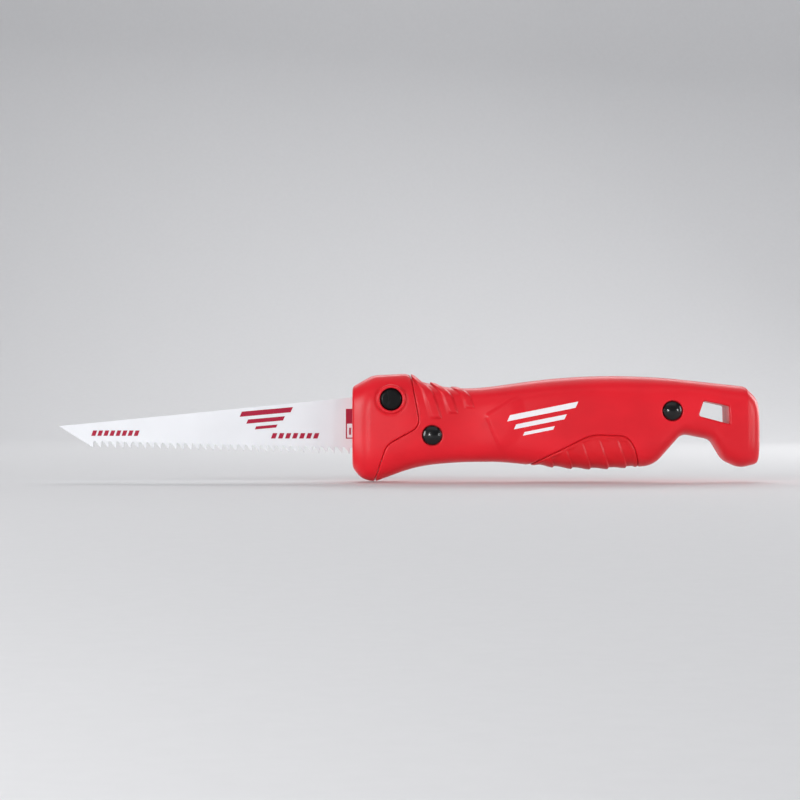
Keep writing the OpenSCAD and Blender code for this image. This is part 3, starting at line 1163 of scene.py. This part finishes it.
@dataclass(frozen=True)
class Nose:
    """The two moulded halves of the nose, which hold the clamp and carry the button."""

    form: BodyForm
    button: Button
    post: BindingPost
    seam_round: float = 0.65
    front_round: float = 0.9
    facet_low: Point2 = (12, 9.3)
    facet_high: Point2 = (6, 17.2)
    facet_round: float = 0.9
    ring_r: float = 6.1
    ring_top: float = -12.45
    ring_round: float = 0.68
    ring_fillet: float = 0.35
    dish_r: float = 7.3
    dish_deep: float = 0.3
    tongue: Outline = Outline((
        (13, 9, 0), (30.2, 9, 2), (40.4, 2, 4), (40.8, -15.2, 4), (27, -15.2, 3), (22, -12.2, 2),
        (13, -12.2, 0),
    ))
    tongue_half: float = 5.0
    clamp: Outline = Outline((
        (9.6, 12, 0), (21.8, 12, 1.6), (28, 7.4, 3), (38.6, 1, 4), (39, -14, 4), (28, -14, 3),
        (24.5, -11, 2), (9.6, -11, 0),
    ))
    clamp_half: float = 2.25
    mouth: tuple[float, float, float] = (9.61, -17.3, 9.4)
    mouth_half: float = 0.8
    mouth_round: float = 0.3
    guide_round: float = 0.5
    yoke_room: Outline = Outline((
        (12.4, 13, 1), (20.2, 13, 1.5), (24, 0.5, 3), (21.4, -4.8, 2), (15.8, -4.8, 2), (13.6, 0, 2),
    ))
    yoke_room_out: float = 8.5
    play: float = 0.05
    box: Box = ((0, -13, -28.6), (41, 0, 18.4))
    net: SurfaceNet = SurfaceNet(0.24, keep=0.55)

    def facet(self, y: Array, z: Array) -> Array:
        """Distance outside the slanted facet along the nose's top edge."""
        run = self.facet_low[0] - self.facet_high[0]
        rise = self.facet_high[1] - self.facet_low[1]
        past = (np.abs(y) - self.facet_low[0]) * rise + (z - self.facet_low[1]) * run
        return past / math.hypot(run, rise)

    def shell(self, x: Array, y: Array, z: Array, raised: Union[Array, float] = 0.0) -> Array:
        """The nose with its tongue, clamp room and mouth, as both sides have it.

        Args:
            x: places along the saw.
            y: places across it.
            z: heights.
            raised: how far the outer surface stands out there.

        Returns:
            Distances, which are negative inside.
        """
        depth = np.abs(y)
        outer = self.form.distance(x, y, z, raised)
        outer = meet(meet(outer, self.facet(y, z), self.facet_round), -x, self.front_round)
        seam = self.form.nose_side.distance(x, z) + self.form.gap(outer)
        outer = meet(outer, seam, self.seam_round)
        solid = np.minimum(outer, np.maximum(self.tongue.distance(x, z), depth - self.tongue_half))
        clamp = np.maximum(self.clamp.distance(x, z), depth - self.clamp_half - self.play)
        solid = np.maximum(solid, -clamp)
        back, low, high = self.mouth
        slit = np.maximum.reduce(np.broadcast_arrays(depth - self.mouth_half, low - z, z - high, x - back))
        solid = cut(solid, slit, self.mouth_round)
        return np.maximum(solid, -bar_distance(self.post.at, self.post.shank_r + self.play, x, z))

    def left(self, x: Array, y: Array, z: Array) -> Array:
        """The button side, with the button's ring and its guide."""
        out = bar_distance(self.button.at, self.ring_r, x, z)
        ring = np.maximum(meet(out, self.ring_top - y, self.ring_round), y - self.button.shoulder)
        dish = self.dish_deep * (1 - smooth_step(0, self.dish_r - self.ring_r, out))
        solid = join(self.shell(x, y, z, -dish), ring, self.ring_fillet)
        return self.form.left_half(cut(solid, self.button.room(x, y, z), self.guide_round), y)

    def right(self, x: Array, y: Array, z: Array) -> Array:
        """The screw side as it would lie on the left, with room for the lock's yoke."""
        depth = np.abs(y)
        near = self.clamp_half - 2 * self.play
        room = np.maximum.reduce(np.broadcast_arrays(
            self.yoke_room.distance(x, z), depth - self.yoke_room_out, near - depth))
        return self.form.left_half(np.maximum(self.shell(x, y, z), -room), y)

    def build(self) -> list[Piece]:
        """Makes both halves and dresses the clamp inside them.

        Returns:
            The two halves.
        """
        red = Finish.HANDLE_RED.material
        pieces = []
        for side, solid in ((Side.LEFT, self.left), (Side.RIGHT, self.right)):
            half = dressed(self.net.skin(solid, self.box).piece(f"nose_half_{side.word}", side), red)
            pieces.append(Piece(half, "handle", "handle_plastic", (f"nose_{side.word}",)))
        plates = ("clamp_cheek_left", "clamp_cheek_right", "clamp_spacer")
        dress_nodes(plates, Finish.STAMPED_STEEL.material)
        dress_nodes(("clamp_rivets",), Finish.GROUND_STEEL.material)
        return pieces


@dataclass(frozen=True)
class FingerPads:
    """The ridged inserts at the belly of the handle."""

    form: BodyForm
    outline: Outline = Outline((
        (68, -24, 0), (99.5, -8.2, 4), (114.2, -8.8, 3), (117.8, -14, 3), (121, -27, 0), (121, -34, 0),
        (68, -34, 0),
    ), margin=3.0)
    tilt: float = math.radians(41.9)
    deep: float = 13.56
    gap: float = 0.06
    edge_round: float = 0.85
    first_crest: float = 81.2
    pitch: float = 7.6
    lean: float = 0.386
    height: float = 0.72
    sunk: float = 0.75
    drop: tuple[float, float] = (-0.15, 1.0)
    valley: float = 1.4
    side_fade: tuple[float, float] = (0.9, 2.1)
    top_fade: tuple[float, float] = (9.6, 11.6)
    box: Box = ((66, -13, -25), (123, 0, -7))
    net: SurfaceNet = SurfaceNet(0.24, keep=0.7)

    def room(self, x: Array, y: Array, z: Array) -> Array:
        """Space in the handle for a pad, on either side."""
        floor = self.deep - np.abs(y) * math.cos(self.tilt) + z * math.sin(self.tilt)
        return np.maximum(self.outline.distance(x, z), floor)

    def ridges(self, x: Array, z: Array) -> Array:
        """Height of the ridges: a slow rise to each crest, a quick drop behind it, then a flat valley."""
        past = np.mod(x + self.lean * (z + 15) - self.first_crest, self.pitch)
        drop = 1 - smooth_step(*self.drop, past)
        rise = smooth_step(self.drop[1] + self.valley, self.pitch, past)
        inside = smooth_step(*self.side_fade, -self.outline.distance(x, z))
        below = smooth_step(*self.top_fade, -z)
        return self.height * (np.maximum(drop, rise) - self.sunk) * inside * below

    def solid(self, x: Array, y: Array, z: Array) -> Array:
        """The left pad's solid."""
        outer = self.form.distance(x, y, z, self.ridges(x, z))
        pad = meet(outer, self.room(x, y, z) + self.gap, self.edge_round)
        return self.form.left_half(pad, y)

    def build(self) -> list[Piece]:
        """Makes both pads.

        Returns:
            The two pads.
        """
        skin = self.net.skin(self.solid, self.box)
        red = Finish.PAD_RED.material
        return [Piece(dressed(skin.piece(f"ridged_pad_{side.word}", side), red), "handle", "pad_plastic",
                      (f"finger_pad_{side.word}",)) for side in Side]


@dataclass(frozen=True)
class ThumbRidge:
    """One raised bar on the handle's shoulder, where the thumb rests."""

    x: float
    width: float
    height: float
    foot: float
    lean: float = 0.33
    lean_from: float = 5.0
    flank: tuple[float, float] = (1.6, 0.4)
    drop: tuple[float, float] = (-0.2, 0.9)
    foot_fade: float = 0.7
    crown: float = 4.2
    crown_bend: float = 0.17

    def raised(self, x: Array, z: Array, below_top: Array) -> Array:
        """How far the bar stands out: a slow flank in front, a flat top and a steep flank behind.

        Args:
            x: places along the saw.
            z: heights.
            below_top: how far the places are below the handle's top edge.

        Returns:
            Heights over the plain body.
        """
        bend = self.crown_bend * np.maximum(self.crown - below_top, 0) ** 2
        u = x + self.lean * (z - self.lean_from) + bend - self.x
        half = self.width / 2
        front = smooth_step(-half - self.flank[0], -half + self.flank[1], u)
        behind = 1 - smooth_step(half + self.drop[0], half + self.drop[1], u)
        above = smooth_step(self.foot - self.foot_fade, self.foot + self.foot_fade, z)
        return self.height * front * behind * above


@dataclass(frozen=True)
class RaisedPanel:
    """The panel on the handle's flank, which starts in an arrow-shaped step."""

    corner: Point2 = (55.6, -0.4)
    low_end: Point2 = (60.4, -11.2)
    high_end: Point2 = (69.3, 7.9)
    low_step: float = 2.1
    high_step: float = 2.4
    height: float = 1.15
    fades: tuple[float, float] = (10.5, 17.0)

    def raised(self, x: Array, z: Array) -> Array:
        """How far the panel stands out."""
        cx, cz = self.corner

        def past(end: Point2, turn: float) -> Array:
            """Distance past the arm from the corner to an end."""
            ax, az = end[0] - cx, end[1] - cz
            return turn * ((x - cx) * -az + (z - cz) * ax) / math.hypot(ax, az)

        low = smooth_step(-self.low_step / 2, self.low_step / 2, past(self.low_end, 1))
        high = smooth_step(-self.high_step / 2, self.high_step / 2, past(self.high_end, -1))
        return self.height * low * high * (1 - smooth_step(*self.fades, np.hypot(x - cx, z - cz)))


@dataclass(frozen=True)
class Handle:
    """The two moulded halves of the handle, with ridges, pockets, lanyard slot and hooked tail."""

    form: BodyForm
    nose: Nose
    pads: FingerPads
    posts: tuple[BindingPost, ...]
    seam_round: float = 0.65
    slot: Outline = Outline((
        (146.4, 5.9, 0.7), (156.9, 3.6, 0.7), (157.2, -3.8, 0.8), (144.3, -0.4, 1.2),
    ))
    slot_round: float = 0.9
    thumb: tuple[ThumbRidge, ...] = (
        ThumbRidge(33.1, 3.0, 0.9, -1.2), ThumbRidge(40.8, 2.6, 0.75, 0.8), ThumbRidge(48.6, 2.2, 0.5, 3.0),
    )
    panel: RaisedPanel = RaisedPanel()
    pocket_start: float = 44.0
    pocket_pitch: float = 13.4
    pocket_count: int = 6
    pocket_deep: float = 7.6
    pocket_floor: float = -9.3
    pocket_wall: float = 5.0
    pocket_round: float = 0.3
    rib: float = 1.8
    play: float = 0.1
    counterbore_round: float = 0.4
    box: Box = ((8, -13, -28.6), (171, 0, 18))
    net: SurfaceNet = SurfaceNet(0.33, keep=0.42)

    def relief(self, x: Array, z: Array) -> Array:
        """How far the ridges and the panel stand out of the plain body."""
        below_top = np.interp(x, *self.form.edges[0]) - z
        return sum(ridge.raised(x, z, below_top) for ridge in self.thumb) + self.panel.raised(x, z)

    def pockets(self, x: Array, y: Array, z: Array) -> Array:
        """The row of pockets that lightens the inside."""
        stop = self.pocket_start + self.pocket_pitch * self.pocket_count
        local = np.abs(np.mod(x - self.pocket_start, self.pocket_pitch) - self.pocket_pitch / 2)
        roof = np.interp(x, *self.form.edges[0]) - self.pocket_wall
        return np.maximum.reduce(np.broadcast_arrays(
            local - (self.pocket_pitch - self.rib) / 2, self.pocket_start - x, x - stop,
            self.pocket_floor - z, z - roof, np.abs(y) - self.pocket_deep))

    def solid(self, x: Array, y: Array, z: Array) -> Array:
        """The left half's solid."""
        outer = self.form.distance(x, y, z, self.relief(x, z))
        seam = self.form.gap(outer) - self.form.nose_side.distance(x, z)
        solid = meet(outer, seam, self.seam_round)
        tongue = np.maximum(self.nose.tongue.distance(x, z), np.abs(y) - self.nose.tongue_half)
        solid = np.maximum(solid, self.play - tongue)
        solid = cut(solid, self.slot.distance(x, z), self.slot_round)
        solid = cut(solid, self.pads.room(x, y, z), self.pads.edge_round)
        solid = cut(solid, self.pockets(x, y, z), self.pocket_round)
        for post in self.posts:
            solid = cut(solid, post.room(x, y, z), self.counterbore_round)
        return self.form.left_half(solid, y)

    def build(self) -> list[Piece]:
        """Makes both halves.

        Returns:
            The two halves.
        """
        skin = self.net.skin(self.solid, self.box)
        red = Finish.HANDLE_RED.material
        return [Piece(dressed(skin.piece(f"handle_half_{side.word}", side), red), "handle",
                      "handle_plastic", (f"handle_{side.word}",)) for side in Side]


@dataclass(frozen=True)
class SlantedBar:
    """A bar of the printed marks: four corners in the side view, with slanted ends."""

    x: float
    z: float
    length: float
    height: float
    lean: float = 0.35
    rise: float = 0.0

    def place(self, u: Array, v: Array) -> tuple[Array, Array]:
        """Finds a place on the bar.

        Args:
            u: share of the way along it.
            v: share of the way up it.

        Returns:
            x and z there.
        """
        x = self.x + u * self.length + v * self.height * self.lean
        return x, self.z + v * self.height + u * self.length * self.rise

    @property
    def outline(self) -> list[Point2]:
        """The bar's four corners."""
        return [self.place(u, v) for u, v in ((0, 0), (1, 0), (1, 1), (0, 1))]


@dataclass(frozen=True)
class Emblem:
    """Three white bars printed on each flank of the handle, which follow its surface."""

    handle: Handle
    bars: tuple[SlantedBar, ...] = (
        SlantedBar(64.4, -2.7, 28.4, 2.6, 0.45, 0.2), SlantedBar(67.2, -6.0, 21.0, 2.1, 0.45, 0.2),
        SlantedBar(71.0, -8.6, 12.5, 1.5, 0.45, 0.2),
    )
    proud: float = 0.035
    sunk: float = 0.08
    search: tuple[float, float] = (-14.0, -5.0)
    halvings: int = 30
    across: int = 40
    up: int = 8

    def surface(self, x: Array, z: Array) -> Array:
        """Finds the handle's surface on the left side, by halving the span that it lies in."""
        outside, inside = (np.full(x.shape, y) for y in self.search)
        for _ in range(self.halvings):
            middle = (outside + inside) / 2
            out = self.handle.solid(x, middle, z) > 0
            outside = np.where(out, middle, outside)
            inside = np.where(out, inside, middle)
        return outside

    def bar_mesh(self, bar: SlantedBar) -> tuple[Array, list[tuple[int, ...]]]:
        """Lays one bar on the handle.

        Args:
            bar: the bar.

        Returns:
            The points and the faces of a closed, thin shell.
        """
        u, v = np.meshgrid(np.linspace(0, 1, self.across), np.linspace(0, 1, self.up), indexing="ij")
        x, z = (a.ravel() for a in bar.place(u, v))
        y = self.surface(x, z)
        layers = [np.stack([x, y + shift, z], axis=1) for shift in (-self.proud, self.sunk)]
        count = self.across * self.up
        faces = []
        for i in range(self.across - 1):
            for j in range(self.up - 1):
                a = i * self.up + j
                quad = (a, a + self.up, a + self.up + 1, a + 1)
                faces += [quad, tuple(count + k for k in reversed(quad))]
        rim = [i * self.up for i in range(self.across)]
        rim += [(self.across - 1) * self.up + j for j in range(1, self.up)]
        rim += [i * self.up + self.up - 1 for i in range(self.across - 2, -1, -1)]
        rim += list(range(self.up - 2, 0, -1))
        faces += [(a, a + count, b + count, b) for a, b in zip(rim, rim[1:] + rim[:1])]
        return np.concatenate(layers), faces

    def build(self) -> list[Piece]:
        """Makes the emblem on both sides.

        Returns:
            One piece for each side.
        """
        points: list[Array] = []
        faces: list[tuple[int, ...]] = []
        for bar in self.bars:
            more, quads = self.bar_mesh(bar)
            start = sum(len(p) for p in points)
            points.append(more)
            faces += [tuple(start + k for k in quad) for quad in quads]
        pieces = []
        for side in Side:
            flip = np.array([1, -side.value, 1])
            turned = faces if side is Side.LEFT else [face[::-1] for face in faces]
            mark = mesh_object(f"flank_bars_{side.word}", np.concatenate(points) * flip, turned, False)
            pieces.append(Piece(dressed(mark, Finish.WHITE_INK.material), "handle", "blade_paint"))
        return pieces


@dataclass(frozen=True)
class Blade:
    """The pointed blade with its tang, its row of teeth and its printed marks."""

    thick: float = 1.27
    point: Point2 = (-123.6, -4.8)
    back: tuple[Point2, ...] = ((7.6, 8.1), (8.4, 7.4), (9.6, 6.35), (27.8, 6.35), (28.8, 5.35))
    heel: tuple[Point2, ...] = (
        (28.8, -5.35), (27.8, -6.35), (9.2, -6.35), (8.4, -7.4), (8.0, -14.6),
    )
    tang_hole: Point2 = (18.8, 0)
    tang_hole_r: float = 2.75
    first_tip: Point2 = (-109.3, -13.8)
    tip_slope: float = -0.0242
    pitch: float = 3.175
    tooth_high: float = 2.7
    tooth_front: float = 0.35
    tooth_back: float = 2.075
    tooth_root: float = 0.5
    tooth_thick: tuple[float, float] = (0.97, 0.62)
    tooth_set: float = math.radians(3.2)
    tooth_count: int = 35
    edge_round: float = 0.09
    ink_thick: float = 0.03
    tip_dashes: tuple[SlantedBar, int, float] = (SlantedBar(-110.0, -8.9, 1.7, 2.3), 8, 2.55)
    side_dashes: tuple[SlantedBar, int, float] = (SlantedBar(-34.4, -10.0, 1.9, 2.3), 7, 2.95)
    bars: tuple[SlantedBar, ...] = (
        SlantedBar(-47.6, -0.9, 21.5, 2.2, 0.45, 0.09), SlantedBar(-44.8, -3.8, 15.5, 1.8, 0.45, 0.09),
        SlantedBar(-41.2, -6.2, 9.0, 1.3, 0.45, 0.09),
    )
    label: tuple[float, float, float, float, float] = (-2.9, 6.0, -10.1, -3.8, 2.5)
    label_line: float = 0.5
    tick_wide: float = 0.8
    tick_pitch: float = 1.5
    tick_inset: tuple[float, float] = (1.4, 1.7)
    tick_count: int = 4
    ink_sunk: float = 0.01

    def tooth(self) -> bpy.types.Object:
        """One tooth with its root at the origin: steep in front, slanted behind, thinner at its point."""
        half, thin = (self.thick / 2 * share for share in self.tooth_thick)
        front, back, root = self.tooth_front, -self.tooth_back, self.tooth_root
        side = [(front, 0, half), (front, root, half), (back, root, half), (back, 0, half),
                (0, -self.tooth_high, thin)]
        points = [(x, y * s, z) for s in (-1, 1) for x, z, y in side]
        n = len(side)
        faces = [tuple(range(n - 1, -1, -1)), tuple(range(n, 2 * n))]
        faces += [(k, (k + 1) % n, n + (k + 1) % n, n + k) for k in range(n)]
        piece = mesh_object("tooth", np.array(points), faces, smooth=False)
        work = bmesh.new()
        work.from_mesh(piece.data)
        bmesh.ops.recalc_face_normals(work, faces=work.faces)
        work.to_mesh(piece.data)
        work.free()
        return piece

    def plate(self) -> bpy.types.Object:
        """The blade with only its first tooth, which is the corner of the slanted front edge."""
        x, z = self.first_tip
        last = self.tooth_count * self.pitch
        root = (x + last + self.tooth_front, z + last * self.tip_slope + self.tooth_high)
        start = (x + self.tooth_front, z + self.tooth_high)
        outline = [self.point, *self.back, *self.heel, root, start, self.first_tip]
        face = self.thick / 2
        plate = drawn_plate("plate", outline, -face, face, [(self.tang_hole, self.tang_hole_r)])
        return bevelled(plate, self.edge_round)

    def steel(self) -> bpy.types.Object:
        """Grows the teeth along the plate's edge, set to alternate sides, and makes all one solid."""
        tooth = self.tooth()
        paint = BladePaint().material("blade_white", self.first_tip, self.tip_slope)
        x, z = self.first_tip
        tree = GrowTree("tooth_row")
        count = tree.size("Teeth", self.tooth_count, "NodeSocketInt")
        pitch = tree.size("Pitch", self.pitch * MM)
        slope = tree.size("Slope", self.tip_slope)
        set_angle = tree.size("Set", self.tooth_set)
        start_x = tree.size("First X", (x + self.pitch) * MM)
        start_z = tree.size("First Z", (z + self.pitch * self.tip_slope + self.tooth_high) * MM)
        shape = tree.size("Tooth", tooth, "NodeSocketObject")
        start = tree.node("ShaderNodeCombineXYZ", None, {"X": start_x, "Z": start_z})
        drop = tree.maths("MULTIPLY", pitch, slope)
        step = tree.node("ShaderNodeCombineXYZ", None, {"X": pitch, "Z": drop})
        line = tree.node("GeometryNodeMeshLine", {"mode": "OFFSET"},
                         {"Count": count, "Start Location": start.outputs[0], "Offset": step.outputs[0]})
        index = tree.node("GeometryNodeInputIndex").outputs[0]
        swing = tree.maths("SUBTRACT", tree.maths("MULTIPLY", tree.maths("MODULO", index, 2.0), 2.0), 1.0)
        turn = tree.node("ShaderNodeCombineXYZ", None, {"X": tree.maths("MULTIPLY", swing, set_angle)})
        info = tree.node("GeometryNodeObjectInfo", None, {"Object": shape})
        teeth = tree.node("GeometryNodeInstanceOnPoints", None, {
            "Points": line.outputs[0], "Instance": info.outputs["Geometry"], "Rotation": turn.outputs[0]})
        real = tree.node("GeometryNodeRealizeInstances", None, {"Geometry": teeth.outputs[0]})
        whole = tree.node("GeometryNodeMeshBoolean", {"operation": "UNION", "solver": "EXACT"})
        tree.tree.links.new(tree.geometry, whole.inputs[1])
        tree.tree.links.new(real.outputs[0], whole.inputs[1])
        blade = tree.run("blade_steel", self.plate(), whole.outputs[0], paint)
        bpy.data.objects.remove(tooth)
        return blade

    def ink_bar(self, outline: Sequence[Point2], side: Side) -> bpy.types.Object:
        """A thin printed shape on one face of the blade."""
        face = self.thick / 2
        span = sorted((side.value * (face - self.ink_sunk), side.value * (face + self.ink_thick)))
        return drawn_plate("ink", outline, *span)

    def dash_row(self, row: tuple[SlantedBar, int, float], side: Side) -> bpy.types.Object:
        """A row of equal dashes, repeated along a line."""
        dash, number, apart = row
        tree = GrowTree("dash_row")
        count = tree.size("Dashes", number, "NodeSocketInt")
        pitch = tree.size("Pitch", apart * MM)
        shape = self.ink_bar(dash.outline, side)
        step = tree.node("ShaderNodeCombineXYZ", None, {"X": pitch})
        line = tree.node("GeometryNodeMeshLine", {"mode": "OFFSET"},
                         {"Count": count, "Offset": step.outputs[0]})
        dashes = tree.node("GeometryNodeInstanceOnPoints", None,
                           {"Points": line.outputs[0], "Instance": tree.geometry})
        return tree.run("dashes", shape, dashes.outputs[0], Finish.CRIMSON_INK.material)

    def label_parts(self, side: Side) -> list[bpy.types.Object]:
        """The label at the nose: a full block over an outlined box with upright ticks in it."""
        x0, x1, low, middle, high = self.label
        w = self.label_line
        boxes = [(x0, x1, middle, high), (x0, x1, low, low + w), (x0, x0 + w, low + w, middle)]
        aside, above = self.tick_inset
        starts = [x0 + aside + k * self.tick_pitch for k in range(self.tick_count)]
        ticks = [(x, x + self.tick_wide, low + above, middle - above) for x in starts]
        return [self.ink_bar([(a, c), (b, c), (b, d), (a, d)], side) for a, b, c, d in boxes + ticks]

    def build(self) -> list[Piece]:
        """Makes the blade and the marks on both of its faces.

        Returns:
            The blade and one piece of print for each face.
        """
        pieces = [Piece(self.steel(), "blade", "blade_paint", ("blade",))]
        for side in Side:
            parts = [self.dash_row(row, side) for row in (self.tip_dashes, self.side_dashes)]
            parts += [self.ink_bar(bar.outline, side) for bar in self.bars]
            parts += self.label_parts(side)
            marks = dressed(joined(f"blade_print_{side.word}", parts), Finish.CRIMSON_INK.material)
            pieces.append(Piece(marks, "blade", "print_red"))
        return pieces


@dataclass(frozen=True)
class Lamp:
    """A soft area light that points at the saw."""

    place: Place
    size: tuple[float, float]
    watts: float
    target: Place = (0.05, 0.0, 0.0)

    def add(self, name: str) -> None:
        """Adds the light."""
        data = bpy.data.lights.new(name, "AREA")
        data.shape = "RECTANGLE"
        data.size, data.size_y = self.size
        data.energy = self.watts
        lamp = bpy.data.objects.new(name, data)
        lamp.location = self.place
        aim = Vector(self.target) - Vector(self.place)
        lamp.rotation_euler = aim.to_track_quat("-Z", "Y").to_euler()
        bpy.context.scene.collection.objects.link(lamp)


@dataclass(frozen=True)
class Studio:
    """Pale floor and backdrop, soft lights and the camera."""

    floor: float = -28.25
    lens: float = 96.2
    camera_at: Place = (0.0199, -0.900, 0.0062)
    lamps: tuple[Lamp, ...] = (
        Lamp((-0.22, -0.93, 0.06), (0.08, 0.13), 1.7, (0.03, 0.0, 0.0)),
        Lamp((-0.72, -0.58, 0.15), (0.3, 0.45), 4.8, (0.03, 0.0, 0.0)),
        Lamp((0.72, -0.74, 0.06), (0.04, 0.2), 0.9, (0.1, 0.0, 0.0)),
        Lamp((0.98, -0.42, 0.1), (0.26, 0.55), 4.0, (0.16, 0.0, 0.0)),
        Lamp((0.85, 0.55, 0.24), (0.4, 0.5), 4.0, (0.16, 0.0, 0.0)),
        Lamp((0.02, -1.0, 0.95), (1.6, 0.5), 1.5),
        Lamp((0.02, 0.35, 1.1), (1.4, 0.9), 3.4),
        Lamp((0.1, 1.0, 0.75), (1.2, 0.4), 5.0),
    )
    sweep: float = 0.45
    back: float = 1.3
    front: float = -2.6
    half_wide: float = 3.0
    high: float = 2.2
    bend_steps: int = 16
    paper: tuple[Colour, Colour] = ((0.72, 0.72, 0.73), (0.75, 0.75, 0.76))
    sky_colour: Colour = (0.9, 0.93, 1.0)
    sky_strength: float = 0.2

    def backdrop(self) -> None:
        """Lays the floor and bends it up behind the saw and behind the camera."""
        z0 = self.floor * MM

        def bend(wall: float, out: int) -> list[Point2]:
            """The bend from the floor up to a wall, and the wall's top."""
            r, start = self.sweep, wall - out * self.sweep
            turns = [k / self.bend_steps * math.pi / 2 for k in range(self.bend_steps + 1)]
            curve = [(start + out * r * math.sin(a), z0 + r * (1 - math.cos(a))) for a in turns]
            return [*curve, (wall, self.high)]

        line = [*reversed(bend(self.front, -1)), *bend(self.back, 1)]
        points = [(s * self.half_wide, y, z) for y, z in line for s in (-1, 1)]
        faces = [(2 * k, 2 * k + 1, 2 * k + 3, 2 * k + 2) for k in range(len(line) - 1)]
        sheet = mesh_object("backdrop", np.array(points) / MM, faces)
        tree = FinishTree("pale_paper")
        colour = tree.mix(tree.noise(0.3, 3, 0.5), *self.paper)
        dressed(sheet, tree.surface(Base_Color=colour, Roughness=0.9))

    def build(self) -> None:
        """Adds the backdrop, the lights, the sky and the camera."""
        self.backdrop()
        for number, lamp in enumerate(self.lamps):
            lamp.add(f"softbox_{number}")
        scene = bpy.context.scene
        world = bpy.data.worlds.new("studio")
        world.use_nodes = True
        sky = world.node_tree.nodes["Background"]
        sky.inputs["Color"].default_value = (*self.sky_colour, 1)
        sky.inputs["Strength"].default_value = self.sky_strength
        scene.world = world
        scene.view_settings.view_transform = "Standard"
        data = bpy.data.cameras.new("camera")
        data.lens = self.lens
        camera = bpy.data.objects.new("camera", data)
        camera.location = self.camera_at
        camera.rotation_euler = (math.radians(90), 0, 0)
        scene.collection.objects.link(camera)
        scene.camera = camera


def main() -> None:
    """Builds the saw and its studio, and reports each piece."""
    logging.basicConfig(level=logging.INFO, format="%(name)s: %(message)s")
    form = BodyForm()
    front = BindingPost("front", (33.3, -8.5), 10.0)
    rear = BindingPost("rear", (133.3, 1.7), 9.5)
    button = Button()
    nose = Nose(form, button, front)
    pads = FingerPads(form)
    handle = Handle(form, nose, pads, (front, rear))
    Studio().build()
    for assembly in (nose, handle, pads, Emblem(handle), Blade(), button, front, rear):
        for piece in assembly.build():
            piece.mount()


if __name__ == "__main__":
    main()
